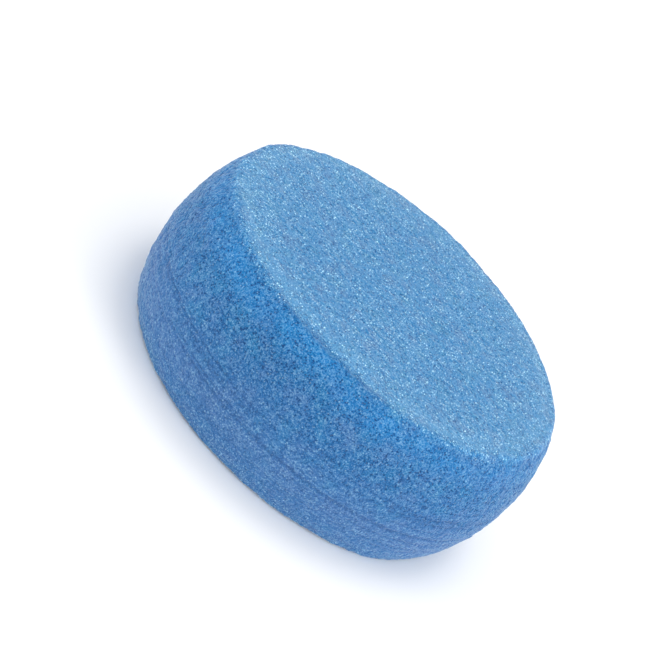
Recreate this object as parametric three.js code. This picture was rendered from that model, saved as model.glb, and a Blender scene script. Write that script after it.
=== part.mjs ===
// Foam puck: one solid block of soft, fine-celled foam, cut as a round disc with a barrelled side.
// Millimetres. +Z runs along the puck's axis. The origin is the centre of the face it rests on.
import * as THREE from 'three';

// Driving dimensions of the block
const DIAMETER = 76;           // across the fullest part of the side, at mid height
const THICKNESS = 27.6;        // from face to face
const FACE_DIAMETER = 69.6;    // where the side would meet a face if the edge between them were sharp
const BULGE_POWER = 2.1;       // a side outline of power 2 is a parabola, and more is flatter mid height
const EDGE_ROUND = 1.0;        // radius of the soft edge between the side and each face

// Fineness of the facets
const TURN_STEPS = 72;         // around the axis
const SIDE_STEPS = 14;         // up the side
const EDGE_STEPS = 4;          // over each soft edge

const FOAM_BLUE = 0x5b9ad6;

const HALF_THICKNESS = THICKNESS / 2;
const BULGE = (DIAMETER - FACE_DIAMETER) / 2;

// Radius of the side at a height measured from mid height.
function sideRadius(height) {
  const reach = Math.abs(height) / HALF_THICKNESS;
  return FACE_DIAMETER / 2 + BULGE * (1 - reach ** BULGE_POWER);
}

// The upper half of the outline, from just above mid height to the axis at the top face.
function upperOutline() {
  const lean = Math.atan(BULGE * BULGE_POWER / HALF_THICKNESS);
  const turn = Math.PI / 2 - lean;
  const setback = EDGE_ROUND * Math.tan(turn / 2);
  const sideTop = HALF_THICKNESS - setback * Math.cos(lean);
  const points = [];
  for (let i = 1; i < SIDE_STEPS / 2; i += 1) {
    const height = sideTop * i / (SIDE_STEPS / 2);
    points.push(new THREE.Vector2(sideRadius(height), height));
  }
  const arcRadius = FACE_DIAMETER / 2 - setback;
  const arcHeight = HALF_THICKNESS - EDGE_ROUND;
  for (let i = 0; i <= EDGE_STEPS; i += 1) {
    const angle = lean + turn * i / EDGE_STEPS;
    const radius = arcRadius + EDGE_ROUND * Math.cos(angle);
    points.push(new THREE.Vector2(radius, arcHeight + EDGE_ROUND * Math.sin(angle)));
  }
  points.push(new THREE.Vector2(0, HALF_THICKNESS));
  return points;
}

// The whole outline, from the axis at the bottom face, up the side, to the axis at the top face.
function outline() {
  const upper = upperOutline();
  const lower = upper.map((point) => new THREE.Vector2(point.x, -point.y)).reverse();
  const widest = new THREE.Vector2(DIAMETER / 2, 0);
  return [...lower, widest, ...upper];
}

function foamBody() {
  const geometry = new THREE.LatheGeometry(outline(), TURN_STEPS);
  geometry.rotateX(Math.PI / 2);
  const foam = new THREE.MeshStandardMaterial({ color: FOAM_BLUE, roughness: 0.9, metalness: 0 });
  const mesh = new THREE.Mesh(geometry, foam);
  mesh.name = 'foam_body';
  mesh.position.z = HALF_THICKNESS;
  return mesh;
}

const puck = new THREE.Group();
puck.add(foamBody());

export default puck;
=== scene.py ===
import math

import bpy
import numpy as np
from mathutils import Matrix, Vector


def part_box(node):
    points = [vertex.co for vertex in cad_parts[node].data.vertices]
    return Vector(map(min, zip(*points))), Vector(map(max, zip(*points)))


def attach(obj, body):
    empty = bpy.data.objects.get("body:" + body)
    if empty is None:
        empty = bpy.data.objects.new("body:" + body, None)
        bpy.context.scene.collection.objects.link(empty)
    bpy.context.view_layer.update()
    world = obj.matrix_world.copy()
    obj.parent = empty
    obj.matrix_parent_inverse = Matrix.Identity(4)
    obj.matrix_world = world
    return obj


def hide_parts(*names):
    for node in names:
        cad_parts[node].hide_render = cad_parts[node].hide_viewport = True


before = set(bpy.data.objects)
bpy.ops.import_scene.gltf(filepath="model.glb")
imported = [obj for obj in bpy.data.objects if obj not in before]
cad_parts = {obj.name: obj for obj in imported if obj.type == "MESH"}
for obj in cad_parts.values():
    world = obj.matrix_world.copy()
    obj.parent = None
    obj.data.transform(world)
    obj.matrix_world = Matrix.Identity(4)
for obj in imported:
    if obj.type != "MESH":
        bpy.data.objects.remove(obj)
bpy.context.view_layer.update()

# ---------------------------------------------------------------- sizes, in metres
MM = 0.001

GRID_STEP = 0.155 * MM          # distance between neighbouring points of the surface
GRID_JITTER = 0.22              # how far a point strays from its place, in grid steps
GRID_SEED = 5                   # where the points stray to
FOAM_SEED = 1                   # cells and lumps
ROUGH_SEED = 2                  # wear, knobs, waves and blade marks
SAME_HEIGHT = 1e-5              # heights closer than this count as the same

CELL_SIZE = 0.34 * MM           # mean width of the foam's cells
CELL_REACH = 0.55               # where a cell's hollow ends: the squared distance from its centre, in cells
CELL_DEPTH = 0.15 * MM          # how deep a cut cell is on the faces
SIDE_CELL_DEPTH = 0.20 * MM     # and on the side, where the blade tore them
SHALLOWEST_CELL = 0.2           # depth of the shallowest cells, as a share of the deepest
STRUT_RISE = 0.9                # how far the struts stand proud of the smooth block, in cell depths
REST_FACE_TURN = -0.9           # points that face down more than this get no proud struts, so it rests flat
LUMP_SIZE = 0.9 * MM            # soft lumps of a few cells
LUMP_HEIGHT = 0.08 * MM
KNOB_SIZE = 2.0 * MM            # larger knobs, which leave the block's outline ragged
KNOB_HEIGHT = 0.11 * MM
WAVE_SIZE = 13.0 * MM           # slow unevenness of the whole block
WAVE_HEIGHT = 0.10 * MM

STREAK_LENGTH = 22.0 * MM       # marks that the blade left around the side
STREAK_WIDTH = 0.42 * MM
STREAK_DEPTH = 0.16 * MM
STREAK_RARITY = -0.10           # -1 streaks the whole side, and a value near 1 almost none; 1 itself won't do
STREAK_LEVEL = -0.25            # where most of them are, from -1 at the bottom to 1 at the top
STREAK_SPREAD = 0.55

EDGE_WEAR = 0.45 * MM           # the most that the two edges are worn down, all around
EDGE_WEAR_WIDTH = 2.0 * MM      # how far from the edge that reaches
EDGE_CORE = 5.0 * MM            # how deep inside the edge the ring lies that the wear moves towards
EDGE_DENT = 0.8 * MM            # how much deeper the one soft stretch at the front of the top edge is worn
EDGE_DENT_WIDTH = 3.4 * MM      # how far from the edge that reaches
EDGE_DENT_ANGLE = math.radians(266)
EDGE_DENT_SPREAD = math.radians(17)

LINE_WANDER = 0.35 * MM         # how far the line between the face's look and the side's strays from a circle
WANDER_LENGTH = 9.0 * MM
LINE_RAGGED = 0.5 * MM          # how far single lumps stray from that line
LINE_DENT = 2.0 * MM            # how far in it lies in the soft stretch
SIDE_START = -0.6 * MM          # the top face's look turns into the side's from here
SIDE_END = 1.8 * MM             # to here past that line
LOWER_SIDE_GAIN = 1.6           # on the lower half the side's look follows the slope: how fast it comes in
LOWER_SIDE_START = 0.3          # and how much is taken off it, so that the rest face has none

FLAT_DEPTH = 0.36 * MM          # the one stretch of side that is cut a little deeper
FLAT_ANGLE = math.radians(180)
FLAT_SPREAD = math.radians(38)

GLOW_START = 0.2 * MM           # painted light: the clear blue band under the top edge, where light soaks in
GLOW_FULL = GLOW_START + 2 * MM
GLOW_END = 8.0 * MM
GLOW_ANGLE = math.radians(255)  # where it is strongest
GLOW_SPREAD = math.radians(60)
GLOW_EVERYWHERE = 0.3           # what is left of it far from there

# ---------------------------------------------------------------- the photograph's view
CAMERA_DISTANCE = 416 * MM
CAMERA_ELEVATION = math.radians(26.0)
CAMERA_ROLL = math.radians(44.2)
CAMERA_SENSOR = 36              # in the camera's own millimetres, as the lens is
CAMERA_LENS = 130.9
PUCK_RIGHT_OF_AXIS = 2.42 * MM
PUCK_BELOW_AXIS = 2.29 * MM


# ---------------------------------------------------------------- noise in space
TABLE_SIZE = 96                 # random cells along each direction before they repeat


class Noise:
    """Random cells in space. One set of cells per seed, and the same set on every run."""

    def __init__(self, seed):
        random = np.random.default_rng(seed)
        shape = (TABLE_SIZE, TABLE_SIZE, TABLE_SIZE)
        self.centre = random.random(shape + (3,), dtype=np.float32)
        self.value = random.random(shape, dtype=np.float32)

    def corner(self, cell):
        """The random value of each whole-numbered cell."""
        i, j, k = (cell % TABLE_SIZE).T
        return self.value[i, j, k]

    def smooth(self, points, size):
        """Soft noise from -1 to 1, with features about size across."""
        scaled = points / size
        cell = np.floor(scaled).astype(np.int64)
        part = scaled - cell
        eased = part * part * (3 - 2 * part)
        total = np.zeros(len(points))
        for corner in np.ndindex(2, 2, 2):
            share = np.prod(np.where(corner, eased, 1 - eased), axis=1)
            total += share * self.corner(cell + np.array(corner))
        return 2 * total - 1

    def cells(self, points, size):
        """For each point: how deep it lies inside the nearest cell, 0 to 1, and that cell's value."""
        scaled = points / size
        home = np.floor(scaled).astype(np.int64)
        nearest = np.full(len(points), np.inf)
        value = np.zeros(len(points))
        for offset in np.ndindex(3, 3, 3):
            cell = home + np.array(offset) - 1
            i, j, k = (cell % TABLE_SIZE).T
            centre = cell + self.centre[i, j, k]
            distance = np.sum((scaled - centre) ** 2, axis=1)
            closer = distance < nearest
            nearest[closer] = distance[closer]
            value[closer] = self.value[i, j, k][closer]
        return np.clip(1 - nearest / CELL_REACH, 0, 1), value


# ---------------------------------------------------------------- the block's surface
def block_outline():
    """Radius and height along the CAD block's outline, from the bottom's centre to the top's centre."""
    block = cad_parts["foam_body"]
    points = np.array([v.co for v in block.data.vertices])
    radius = np.hypot(points[:, 0], points[:, 1])
    pairs = np.unique(np.round(np.stack([radius, points[:, 2]], axis=1), 6), axis=0)
    middle = (pairs[:, 1].min() + pairs[:, 1].max()) / 2
    order = np.argsort(np.arctan2(pairs[:, 1] - middle, pairs[:, 0]))
    return pairs[order]


def along(outline):
    """Distance travelled along the outline at each of its points."""
    return np.concatenate([[0], np.cumsum(np.linalg.norm(np.diff(outline, axis=0), axis=1))])


def stitch(first, count, start, next_first, next_count, next_start):
    """Triangles between two rings of points with different counts.

    Walking around both rings together, each step moves on along the ring whose next point comes first.
    """
    turn = 2 * math.pi
    here = start + turn * np.arange(1, count + 1) / count
    there = next_start + turn * np.arange(1, next_count + 1) / next_count
    passed_there = np.searchsorted(there, here, side="left")
    passed_here = np.searchsorted(here, there, side="right")
    i = np.arange(count)
    j = np.arange(next_count)
    lower = np.stack([first + i, first + (i + 1) % count, next_first + passed_there % next_count], axis=1)
    upper = np.stack([next_first + (j + 1) % next_count, next_first + j, first + passed_here % count], axis=1)
    return np.concatenate([lower, upper])


def block_surface():
    """Points, outward directions and triangles of the smooth block, evenly spaced all over."""
    outline = block_outline()
    travelled = along(outline)
    steps = round(travelled[-1] / GRID_STEP)
    spots = np.linspace(0, travelled[-1], steps + 1)
    radius = np.interp(spots, travelled, outline[:, 0])
    height = np.interp(spots, travelled, outline[:, 1])
    out_radius = np.gradient(height, spots)
    out_height = -np.gradient(radius, spots)
    counts = np.maximum(6, np.round(2 * math.pi * radius / GRID_STEP)).astype(int)
    counts[0] = counts[-1] = 1
    firsts = np.concatenate([[0], np.cumsum(counts)])
    random = np.random.default_rng(GRID_SEED)
    starts = random.random(len(counts)) * 2 * math.pi / counts
    starts[0] = starts[-1] = 0
    ring = np.repeat(np.arange(len(counts)), counts)
    place = np.arange(firsts[-1]) - firsts[ring]
    angle = starts[ring] + 2 * math.pi * place / counts[ring]
    loose = (ring > 0) & (ring < steps)
    stray = random.uniform(-GRID_JITTER, GRID_JITTER, (2, len(ring))) * GRID_STEP * loose
    spot = spots[ring] + stray[0]
    r = np.interp(spot, spots, radius)
    angle = angle + stray[1] / np.maximum(r, GRID_STEP)
    points = np.stack([r * np.cos(angle), r * np.sin(angle), np.interp(spot, spots, height)], axis=1)
    tilt = np.interp(spot, spots, out_radius)
    lift = np.interp(spot, spots, out_height)
    outward = np.stack([tilt * np.cos(angle), tilt * np.sin(angle), lift], axis=1)
    outward /= np.linalg.norm(outward, axis=1, keepdims=True)
    triangles = []
    for k in range(steps):
        rings = (firsts[k], counts[k], starts[k], firsts[k + 1], counts[k + 1], starts[k + 1])
        triangles.append(stitch(*rings))
    triangles = np.concatenate(triangles)
    distinct = (triangles[:, 0] != triangles[:, 1]) & (triangles[:, 1] != triangles[:, 2])
    distinct &= triangles[:, 2] != triangles[:, 0]
    return points, outward, triangles[distinct]


def ease(value, start, end):
    """0 up to start and 1 from end on, with a soft step between them."""
    part = np.clip((value - start) / (end - start), 0, 1)
    return part * part * (3 - 2 * part)


def bell(value, width):
    return np.exp(-((value / width) ** 2))


def turned_from(angle, middle):
    """How far an angle lies from the middle one, from -pi to pi."""
    return np.angle(np.exp(1j * (angle - middle)))


class Surface:
    """The smooth block's points, with what the foam's details are worked out from.

    angle and level say where a point is: around the block, and from -1 at the bottom to 1 at the top.
    off_edge and near_edge are its distance from the nearer edge, and how much wear it gets, from 0 to 1.
    past_edge is how far it is past the line where the face's look ends, and negative on the top face.
    side is 0 on the faces and 1 on the side, and dent is 1 in the middle of the soft stretch.
    """

    def __init__(self, noise):
        self.points, self.outward, self.triangles = block_surface()
        self.low, self.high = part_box("foam_body")
        x, y, z = self.points.T
        self.angle = np.arctan2(y, x)
        self.edge_radius = flat_top_radius()
        half = (self.high.z - self.low.z) / 2
        self.level = (z - self.low.z) / half - 1
        upper = self.level > 0

        circle = self.edge_radius * np.stack([np.cos(self.angle), np.sin(self.angle)], axis=1)
        self.edge_place = np.column_stack([circle, np.sign(self.level) * self.high.z])
        self.dent = upper * bell(turned_from(self.angle, EDGE_DENT_ANGLE), EDGE_DENT_SPREAD)
        wander = LINE_WANDER * noise.smooth(self.edge_place, WANDER_LENGTH) - LINE_DENT * self.dent

        radius = np.maximum(np.hypot(x, y), GRID_STEP / 2)
        core_radius = self.edge_radius - EDGE_CORE
        core_level = np.where(upper, self.high.z - EDGE_CORE, self.low.z + EDGE_CORE)
        off_core = np.hypot(radius - core_radius, z - core_level)
        off_core = np.maximum(off_core, EDGE_CORE / 2)
        out = (radius - core_radius) / off_core
        self.from_core = np.stack([out * x / radius, out * y / radius, (z - core_level) / off_core], axis=1)
        reach = np.where(upper, np.minimum(radius, self.edge_radius), self.edge_radius)
        down = np.where((radius > self.edge_radius) | ~upper, half * (1 - self.level), 0)
        ragged = LINE_RAGGED * noise.smooth(self.points, LUMP_SIZE)
        self.past_edge = reach - self.edge_radius - wander + down + ragged
        self.off_edge = np.hypot(radius - self.edge_radius, half * (1 - np.abs(self.level)))
        self.near_edge = bell(self.off_edge, EDGE_WEAR_WIDTH)
        slope = 1 - np.abs(self.outward[:, 2])
        steep = np.clip(LOWER_SIDE_GAIN * slope - LOWER_SIDE_START, 0, 1)
        self.side = np.where(upper, ease(self.past_edge, SIDE_START, SIDE_END), steep)


def edge_wear(surface, noise):
    """How the two edges are worn: a little everywhere, and more in a soft stretch at the front of the top.

    The foam moves towards a ring inside the edge. Moved along its own outward directions, it would fold.
    """
    wear = EDGE_WEAR * (0.5 + 0.5 * noise.smooth(surface.edge_place, WANDER_LENGTH))
    wear *= surface.near_edge
    wear += EDGE_DENT * surface.dent * bell(surface.off_edge, EDGE_DENT_WIDTH)
    return -surface.from_core * wear[:, None]


def painted_edge_glow(surface):
    """From 0 to 1: how much of the painted light shows, a clear blue glowing band under the top edge where
    light soaks in.
    """
    band = ease(surface.past_edge, GLOW_START, GLOW_FULL)
    band *= 1 - ease(surface.past_edge, GLOW_FULL, GLOW_END)
    facing = bell(turned_from(surface.angle, GLOW_ANGLE), GLOW_SPREAD)
    return band * (GLOW_EVERYWHERE + (1 - GLOW_EVERYWHERE) * facing)


def blade_streaks(surface, noise):
    """From 0 to 1: thin marks around the side, most of them a little below mid height."""
    travelled = surface.angle * surface.edge_radius
    place = np.column_stack([travelled / STREAK_LENGTH, surface.points[:, 2] / STREAK_WIDTH, 0 * travelled])
    marks = np.clip(noise.smooth(place, 1.0) - STREAK_RARITY, 0, 1) / (1 - STREAK_RARITY)
    return marks * surface.side * bell(surface.level - STREAK_LEVEL, STREAK_SPREAD)


def foam_surface():
    """The cut foam: the smooth block with worn edges, blade streaks and open cells."""
    foam = Noise(FOAM_SEED)
    rough = Noise(ROUGH_SEED)
    surface = Surface(rough)
    streak = blade_streaks(surface, rough)
    inside, value = foam.cells(surface.points, CELL_SIZE)
    pit = inside * (SHALLOWEST_CELL + (1 - SHALLOWEST_CELL) * value)
    deep = CELL_DEPTH + (SIDE_CELL_DEPTH - CELL_DEPTH) * surface.side
    rise = np.where(surface.outward[:, 2] < REST_FACE_TURN, 0, STRUT_RISE)
    height = deep * (rise - pit)
    height += LUMP_HEIGHT * foam.smooth(surface.points, LUMP_SIZE)
    knobby = np.maximum(surface.side, surface.near_edge)
    height += KNOB_HEIGHT * knobby * rough.smooth(surface.points, KNOB_SIZE)
    height += WAVE_HEIGHT * rough.smooth(surface.points, WAVE_SIZE)
    height -= STREAK_DEPTH * streak
    height -= FLAT_DEPTH * surface.side * bell(turned_from(surface.angle, FLAT_ANGLE), FLAT_SPREAD)
    moved = surface.points + surface.outward * height[:, None] + edge_wear(surface, rough)
    moved[:, 2] = np.maximum(moved[:, 2], surface.low.z)
    traits = {"pit": pit, "streak": streak, "side": surface.side, "past_edge": surface.past_edge}
    # painted light: the glowing band under the top edge
    traits["painted_glow"] = painted_edge_glow(surface)
    return moved, surface.triangles, traits


def flat_top_radius():
    """Radius at which the CAD block's flat top ends."""
    outline = block_outline()
    flat = outline[:, 1] > outline[:, 1].max() - SAME_HEIGHT
    return outline[flat, 0].max()


def mesh_object(name, points, triangles, traits):
    """A smooth-shaded mesh with one named value per point for each trait."""
    mesh = bpy.data.meshes.new(name)
    mesh.vertices.add(len(points))
    mesh.vertices.foreach_set("co", points.astype(np.float32).ravel())
    mesh.loops.add(3 * len(triangles))
    mesh.loops.foreach_set("vertex_index", triangles.astype(np.int32).ravel())
    mesh.polygons.add(len(triangles))
    mesh.polygons.foreach_set("loop_start", np.arange(0, 3 * len(triangles), 3, dtype=np.int32))
    mesh.update(calc_edges=True)
    mesh.shade_smooth()
    for trait, values in traits.items():
        attribute = mesh.attributes.new(trait, "FLOAT", "POINT")
        attribute.data.foreach_set("value", values.astype(np.float32))
    made = bpy.data.objects.new(name, mesh)
    bpy.context.scene.collection.objects.link(made)
    return made


# ---------------------------------------------------------------- materials
class Nodes:
    """Short calls for building one material's nodes."""

    def __init__(self, name):
        self.material = bpy.data.materials.new(name)
        self.material.use_nodes = True
        self.tree = self.material.node_tree
        self.shader = self.tree.nodes["Principled BSDF"]

    def add(self, kind, links=None, **settings):
        """A node of that kind. Settings are its own properties, and links go into its inputs."""
        made = self.tree.nodes.new(kind)
        for key, value in settings.items():
            setattr(made, key, value)
        for key, value in (links or {}).items():
            self.put(made.inputs[key], value)
        return made

    def put(self, socket, value):
        if isinstance(value, bpy.types.NodeSocket):
            self.tree.links.new(value, socket)
        else:
            socket.default_value = value

    def trait(self, name):
        return self.add("ShaderNodeAttribute", attribute_name=name).outputs["Fac"]

    def noise(self, place, size, detail=2.0):
        links = {"Vector": place, "Scale": 1 / size, "Detail": detail}
        return self.add("ShaderNodeTexNoise", links).outputs["Fac"]

    def math(self, operation, first, second=0.0):
        made = self.add("ShaderNodeMath", {0: first, 1: second}, operation=operation)
        return made.outputs["Value"]

    def ramp(self, value, low, high, to_low=0.0, to_high=1.0):
        """Value from low to high, eased into to_low to to_high."""
        links = {"Value": value, "From Min": low, "From Max": high, "To Min": to_low, "To Max": to_high}
        return self.add("ShaderNodeMapRange", links, interpolation_type="SMOOTHSTEP").outputs["Result"]

    def blend(self, share, first, second, way="MIX"):
        """The first colour with a share of the second mixed in, or multiplied in."""
        made = self.add("ShaderNodeMix", data_type="RGBA", blend_type=way)
        self.put(made.inputs["Factor"], share)
        self.put(made.inputs[6], first)
        self.put(made.inputs[7], second)
        return made.outputs[2]


DRIFT_SIZE = 3.2 * MM           # patches where the hue drifts
GLOW_PATCH_SIZE = 5.0 * MM      # patches where the painted glowing band under the top edge is fainter
GRAIN_SIZE = 0.22 * MM          # finest grain, in colour and in bump
GRAIN_BUMP = 0.06 * MM
CLUMP_SIZE = 0.95 * MM          # lighter and darker clumps on the side
SPECK_SIZE = 0.44 * MM          # bright round specks, partly pale strut knots and partly painted glints
FLAKE_SIZE = 0.21 * MM          # small pale flakes between them, also partly painted glints
SPARKLE_PATCH_SIZE = 1.3 * MM   # patches with more or fewer of both

# Distances past the line where the face's look ends.
VIOLET_START = 9 * MM           # painted light: the side turns greyer and more violet from here down
VIOLET_END = 22 * MM
PALER_START = 6 * MM            # and the painted shade in its holes weaker
PALER_END = 18 * MM
BROAD_HAZE = 16 * MM            # how far in over the top face a faint painted sheen begins
EDGE_HAZE = 5 * MM              # and where a second one adds to it
HAZE_EDGE = 1 * MM              # both are full this far before the line, and gone this far past it

# The side's blue is the face's blue with painted shade: darker and deeper than the top face's.
FACE_BLUE = (0.014, 0.187, 0.450, 1)
SHADED_SIDE_BLUE = (0.006, 0.106, 0.298, 1)
PAINTED_GLOW_BLUE = (0.001, 0.168, 0.445, 1)
TEAL_BLUE = (0.008, 0.168, 0.360, 1)
VIOLET_BLUE = (0.060, 0.138, 0.325, 1)
# pale blue for the struts' painted light, the painted glints and the painted sheen
PALE_BLUE = (0.540, 0.870, 1.000, 1)
# painted shade, multiplied into the cell holes
HOLE_SHADE_TINT = (0.080, 0.340, 0.480, 1)


def foam_material():
    """Open-celled blue foam: slow drift of hue, with painted light and shade in pale struts and deep blue
    holes, bright specks that are partly painted glints, a darker side, a clear blue glowing band under the
    top edge and a painted sheen.
    """
    n = Nodes("blue_foam")
    place = n.add("ShaderNodeTexCoord").outputs["Object"]
    side = n.trait("side")
    past_edge = n.trait("past_edge")

    drift = n.noise(place, DRIFT_SIZE, 2)
    # painted shade: the side darker than the top face
    colour = n.blend(side, FACE_BLUE, SHADED_SIDE_BLUE)
    colour = n.blend(n.ramp(drift, 0.5, 0.72, 0, 0.4), colour, TEAL_BLUE)
    colour = n.blend(n.ramp(drift, 0.5, 0.28, 0, 0.4), colour, VIOLET_BLUE)
    # painted light: the lower side turns greyer and more violet
    lower = n.math("MULTIPLY", side, n.ramp(past_edge, VIOLET_START, VIOLET_END, 0, 0.6))
    colour = n.blend(lower, colour, VIOLET_BLUE)
    # painted light: a clear blue glowing band under the top edge, strongest at the front
    glow_patches = n.ramp(n.noise(place, GLOW_PATCH_SIZE, 1), 0.3, 0.7, 0.5, 1)
    painted_glow = n.math("MULTIPLY", n.trait("painted_glow"), glow_patches)
    colour = n.blend(painted_glow, colour, PAINTED_GLOW_BLUE)

    # Painted light and shade from the cells: paler on the struts and darker in the holes, mixed with random
    # grain, lighter and darker clumps on the side, and darker along the blade streaks.
    grain = n.noise(place, GRAIN_SIZE, 1)
    clump = n.noise(place, CLUMP_SIZE, 1)
    shade = n.math("ADD", n.trait("pit"), n.ramp(grain, 0.25, 0.75, 0.3, -0.3))
    shade = n.math("ADD", shade, n.math("MULTIPLY", side, n.ramp(clump, 0.3, 0.7, 0.13, -0.13)))
    shade = n.math("ADD", shade, n.math("MULTIPLY", n.trait("streak"), 0.55))
    colour = n.blend(n.ramp(shade, 0.3, -0.15, 0, 0.13), colour, PALE_BLUE)
    paler = n.ramp(past_edge, PALER_START, PALER_END, 1.05, 0.45)
    painted_hole_shade = n.math("MULTIPLY", n.ramp(shade, 0.35, 0.85, 0, 1), paler)
    colour = n.blend(painted_hole_shade, colour, HOLE_SHADE_TINT, "MULTIPLY")

    # Bright specks, partly pale strut knots and partly painted glints.
    speckle = n.add("ShaderNodeTexVoronoi", {"Vector": place, "Scale": 1 / SPECK_SIZE})
    chance = n.add("ShaderNodeSeparateColor", {"Color": speckle.outputs["Color"]}).outputs["Red"]
    dots = n.ramp(speckle.outputs["Distance"], 0.12, 0.46, 1, 0)
    dots = n.math("MULTIPLY", dots, n.ramp(chance, 0.35, 0.95, 0, 0.95))
    flakes = n.ramp(n.noise(place, FLAKE_SIZE, 2), 0.54, 0.70, 0, 0.5)
    speck_and_glint = n.math("MAXIMUM", dots, flakes)
    sparkle_patches = n.ramp(n.noise(place, SPARKLE_PATCH_SIZE, 1), 0.3, 0.7, 0.6, 1.3)
    speck_and_glint = n.math("MULTIPLY", speck_and_glint, sparkle_patches)
    # fewer painted glints on the side, where less light falls
    speck_and_glint = n.math("MULTIPLY", speck_and_glint, n.ramp(side, 0, 1, 1.0, 0.22))
    colour = n.blend(speck_and_glint, colour, PALE_BLUE)
    # painted sheen: a faint pale cast over the top face, strongest just inside the edge
    broad_haze = n.ramp(past_edge, -BROAD_HAZE, -HAZE_EDGE, 0, 0.03)
    edge_haze = n.ramp(past_edge, -EDGE_HAZE, -HAZE_EDGE, 0, 0.04)
    painted_sheen = n.math("ADD", broad_haze, edge_haze)
    painted_sheen = n.math("MULTIPLY", painted_sheen, n.ramp(past_edge, -HAZE_EDGE, HAZE_EDGE, 1, 0))
    colour = n.blend(painted_sheen, colour, PALE_BLUE)
    n.put(n.shader.inputs["Base Color"], colour)

    n.put(n.shader.inputs["Roughness"], n.ramp(speck_and_glint, 0, 1, 0.7, 0.35))
    bump = n.add("ShaderNodeBump", {"Height": grain, "Strength": 0.6, "Distance": GRAIN_BUMP})
    n.put(n.shader.inputs["Normal"], bump.outputs["Normal"])

    n.shader.inputs["Specular IOR Level"].default_value = 0.25
    n.shader.inputs["Subsurface Weight"].default_value = 0.2
    n.shader.inputs["Subsurface Radius"].default_value = (0.15, 0.5, 1.0)
    n.shader.inputs["Subsurface Scale"].default_value = 1.5 * MM
    n.shader.inputs["Sheen Weight"].default_value = 0.42
    n.shader.inputs["Sheen Roughness"].default_value = 0.3
    n.shader.inputs["Sheen Tint"].default_value = (1.0, 0.96, 0.92, 1)
    return n.material


def floor_material():
    n = Nodes("pale_floor")
    n.shader.inputs["Base Color"].default_value = (FLOOR_SHADE, FLOOR_SHADE, FLOOR_SHADE, 1)
    n.shader.inputs["Roughness"].default_value = 0.9
    return n.material


# ---------------------------------------------------------------- stage, lights and camera
FLOOR_SIZE = 12.0
FLOOR_SHADE = 0.95


def add_floor():
    half = FLOOR_SIZE / 2
    corners = [(-half, -half, 0), (half, -half, 0), (half, half, 0), (-half, half, 0)]
    mesh = bpy.data.meshes.new("floor")
    mesh.from_pydata(corners, [], [(0, 1, 2, 3)])
    mesh.materials.append(floor_material())
    floor = bpy.data.objects.new("floor", mesh)
    bpy.context.scene.collection.objects.link(floor)


# The soft lights: name, place in metres from the puck's centre, width, and power in watts.
LIGHTS = (
    ("key", (0.05, 0.2, 0.8), 0.4, 1.3),
    ("right_fill", (0.40, -0.18, 0.06), 0.2, 1.05),
    ("left_fill", (-0.32, -0.26, 0.02), 0.2, 0.80),
)


def add_soft_light(name, place, target, size, power):
    lamp = bpy.data.lights.new(name, "AREA")
    lamp.shape = "DISK"
    lamp.size = size
    lamp.energy = power
    made = bpy.data.objects.new(name, lamp)
    made.location = place
    made.rotation_euler = (target - place).to_track_quat("-Z", "Y").to_euler()
    bpy.context.scene.collection.objects.link(made)


def add_lights(centre):
    world = bpy.data.worlds.new("studio")
    world.use_nodes = True
    background = world.node_tree.nodes["Background"]
    background.inputs["Color"].default_value = (1, 1, 1, 1)
    background.inputs["Strength"].default_value = 1.0
    bpy.context.scene.world = world
    for name, offset, size, power in LIGHTS:
        add_soft_light(name, centre + Vector(offset), centre, size, power)


def add_camera(centre):
    """The view in the photograph: low over the top face, and turned so that the puck leans to the right."""
    back = Vector((0, -math.cos(CAMERA_ELEVATION), math.sin(CAMERA_ELEVATION)))
    level_right = Vector((1, 0, 0))
    level_up = back.cross(level_right)
    right = level_right * math.cos(CAMERA_ROLL) + level_up * math.sin(CAMERA_ROLL)
    up = back.cross(right)
    eye = centre - right * PUCK_RIGHT_OF_AXIS + up * PUCK_BELOW_AXIS + back * CAMERA_DISTANCE
    camera = bpy.data.cameras.new("camera")
    camera.lens = CAMERA_LENS
    camera.sensor_width = CAMERA_SENSOR
    camera.clip_start = 0.01
    camera.clip_end = 50
    made = bpy.data.objects.new("camera", camera)
    made.matrix_world = Matrix.Translation(eye) @ Matrix((right, up, back)).transposed().to_4x4()
    bpy.context.scene.collection.objects.link(made)
    bpy.context.scene.camera = made


def add_puck():
    points, triangles, traits = foam_surface()
    puck = mesh_object("foam_puck", points, triangles, traits)
    puck.data.materials.append(foam_material())
    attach(puck, "root")
    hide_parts("foam_body")


low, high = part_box("foam_body")
puck_centre = (low + high) / 2
bpy.context.scene.view_settings.view_transform = "Standard"
add_camera(puck_centre)
add_floor()
add_lights(puck_centre)
add_puck()
